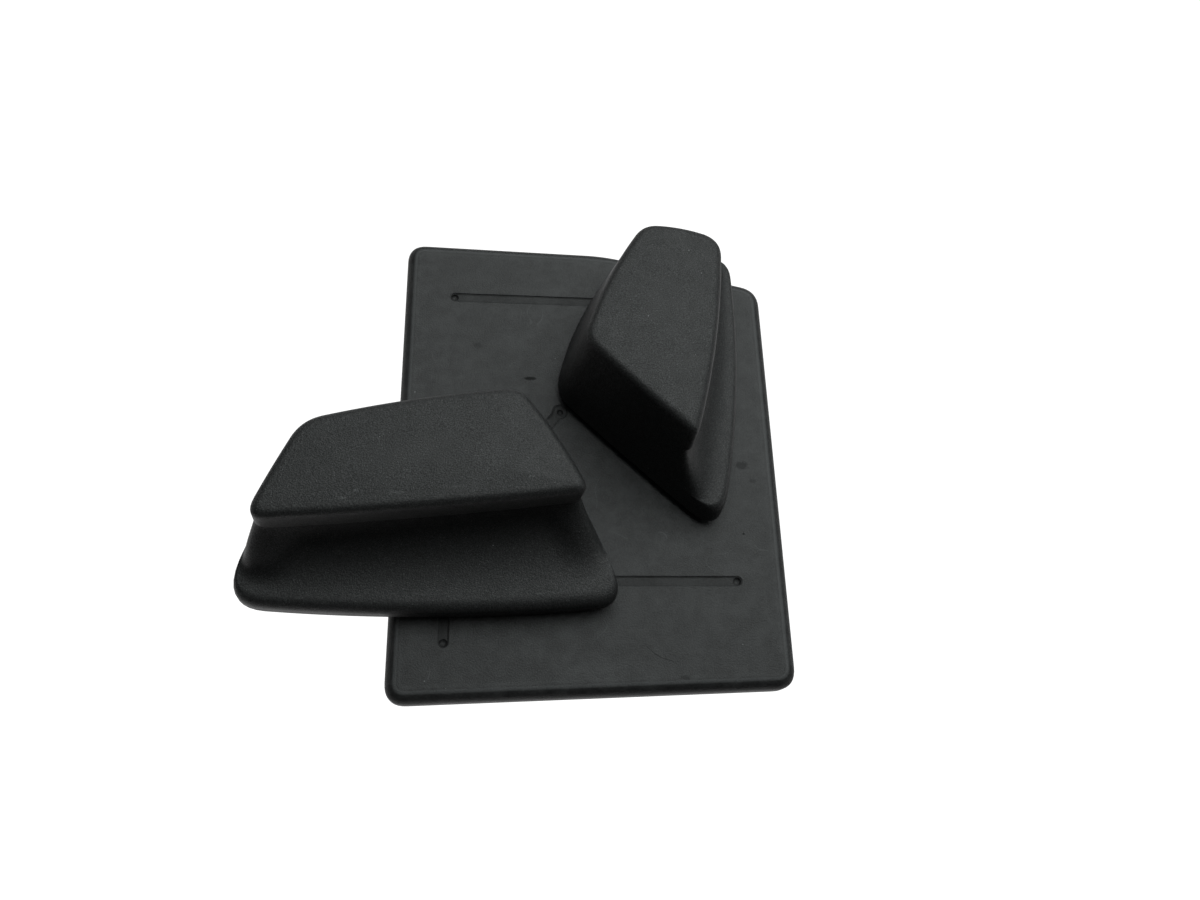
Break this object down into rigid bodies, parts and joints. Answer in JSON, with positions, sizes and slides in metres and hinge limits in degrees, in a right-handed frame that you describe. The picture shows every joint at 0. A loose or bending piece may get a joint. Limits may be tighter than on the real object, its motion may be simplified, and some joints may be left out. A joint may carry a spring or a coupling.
{
  "type": "seat adjuster switch",
  "caption": "Panel switch for a power seat: a faceplate with a cushion-shaped and a backrest-shaped knob over a boxed sliding contact mechanism and connector.",
  "frame": {"origin": "centre of the whole part's box, at the height of the bottom cover's underside", "axes": "+X towards the rear of the seat (from the cushion knob's free end to the backrest knob), +Y up the backrest, +Z out of the faceplate"},
  "size_m": [0.087, 0.081, 0.0479],
  "materials": {
    "faceplate_plastic": "matt moulded plastic with a very fine texture",
    "knob_plastic": "matt moulded plastic with a fine spark-eroded grain",
    "case_plastic": "plain moulded plastic",
    "slide_plastic": "natural acetal, satin",
    "stem_plastic": "glass-filled nylon",
    "shutter_plastic": "thin satin sheet",
    "board_laminate": "green lacquered glass laminate",
    "shroud_plastic": "moulded plastic",
    "screw_steel": "zinc plated steel",
    "spring_steel": "bright spring steel",
    "contact_bronze": "phosphor bronze",
    "terminal_tin": "tin plated copper"
  },
  "bodies": {
    "panel": {"faceplate": "faceplate_plastic", "housing": "case_plastic", "bottom_cover": "case_plastic", "guide_plate": "slide_plastic", "contact_board": "board_laminate", "connector_shroud": "shroud_plastic", "panel_clip_left": "spring_steel", "panel_clip_right": "spring_steel", "recline_pivot_pin": "screw_steel", "fore_aft_return_spring": "spring_steel", "recline_return_spring": "spring_steel", "terminal_1": "terminal_tin", "terminal_2": "terminal_tin", "terminal_3": "terminal_tin", "terminal_4": "terminal_tin", "terminal_5": "terminal_tin", "terminal_6": "terminal_tin", "terminal_7": "terminal_tin", "terminal_8": "terminal_tin", "case_screw_1": "screw_steel", "case_screw_2": "screw_steel", "case_screw_3": "screw_steel", "case_screw_4": "screw_steel", "guide_screw_1": "screw_steel", "guide_screw_2": "screw_steel", "guide_screw_3": "screw_steel"},
    "carriage": {"fore_aft_carriage": "slide_plastic", "fore_aft_wiper": "contact_bronze", "lift_return_spring_front": "spring_steel", "lift_return_spring_rear": "spring_steel"},
    "yoke": {"lift_yoke": "slide_plastic", "lift_wiper": "contact_bronze", "tilt_return_spring": "spring_steel"},
    "cushion": {"cushion_stem": "stem_plastic", "cushion_dust_shutter": "shutter_plastic", "cushion_knob": "knob_plastic", "cushion_knob_clip": "spring_steel", "tilt_wiper": "contact_bronze"},
    "backrest": {"backrest_lever": "stem_plastic", "backrest_dust_shutter": "shutter_plastic", "backrest_knob": "knob_plastic", "backrest_knob_clip": "spring_steel", "recline_wiper": "contact_bronze"}
  },
  "joints": [
    {"name": "fore_aft", "type": "slide", "parent": "panel", "child": "carriage", "axis": [1, 0, 0], "range_m": [-0.002, 0.002], "stiffness_N_per_m": 1500, "deforming": ["fore_aft_return_spring"]},
    {"name": "lift", "type": "slide", "parent": "carriage", "child": "yoke", "axis": [0, 1, 0], "range_m": [-0.002, 0.002], "stiffness_N_per_m": 1500, "deforming": ["lift_return_spring_front", "lift_return_spring_rear"]},
    {"name": "tilt", "type": "hinge", "parent": "yoke", "child": "cushion", "pos_m": [-0.00585, -0.00697, 0.0185], "axis": [0, 0, 1], "range_deg": [-4, 4], "stiffness_Nm_per_rad": 2, "deforming": ["tilt_return_spring"]},
    {"name": "recline", "type": "hinge", "parent": "panel", "child": "backrest", "pos_m": [0.01915, 0.00503, 0.0185], "axis": [0, 0, 1], "range_deg": [-7, 7], "stiffness_Nm_per_rad": 1.5, "deforming": ["recline_return_spring"]}
  ]
}
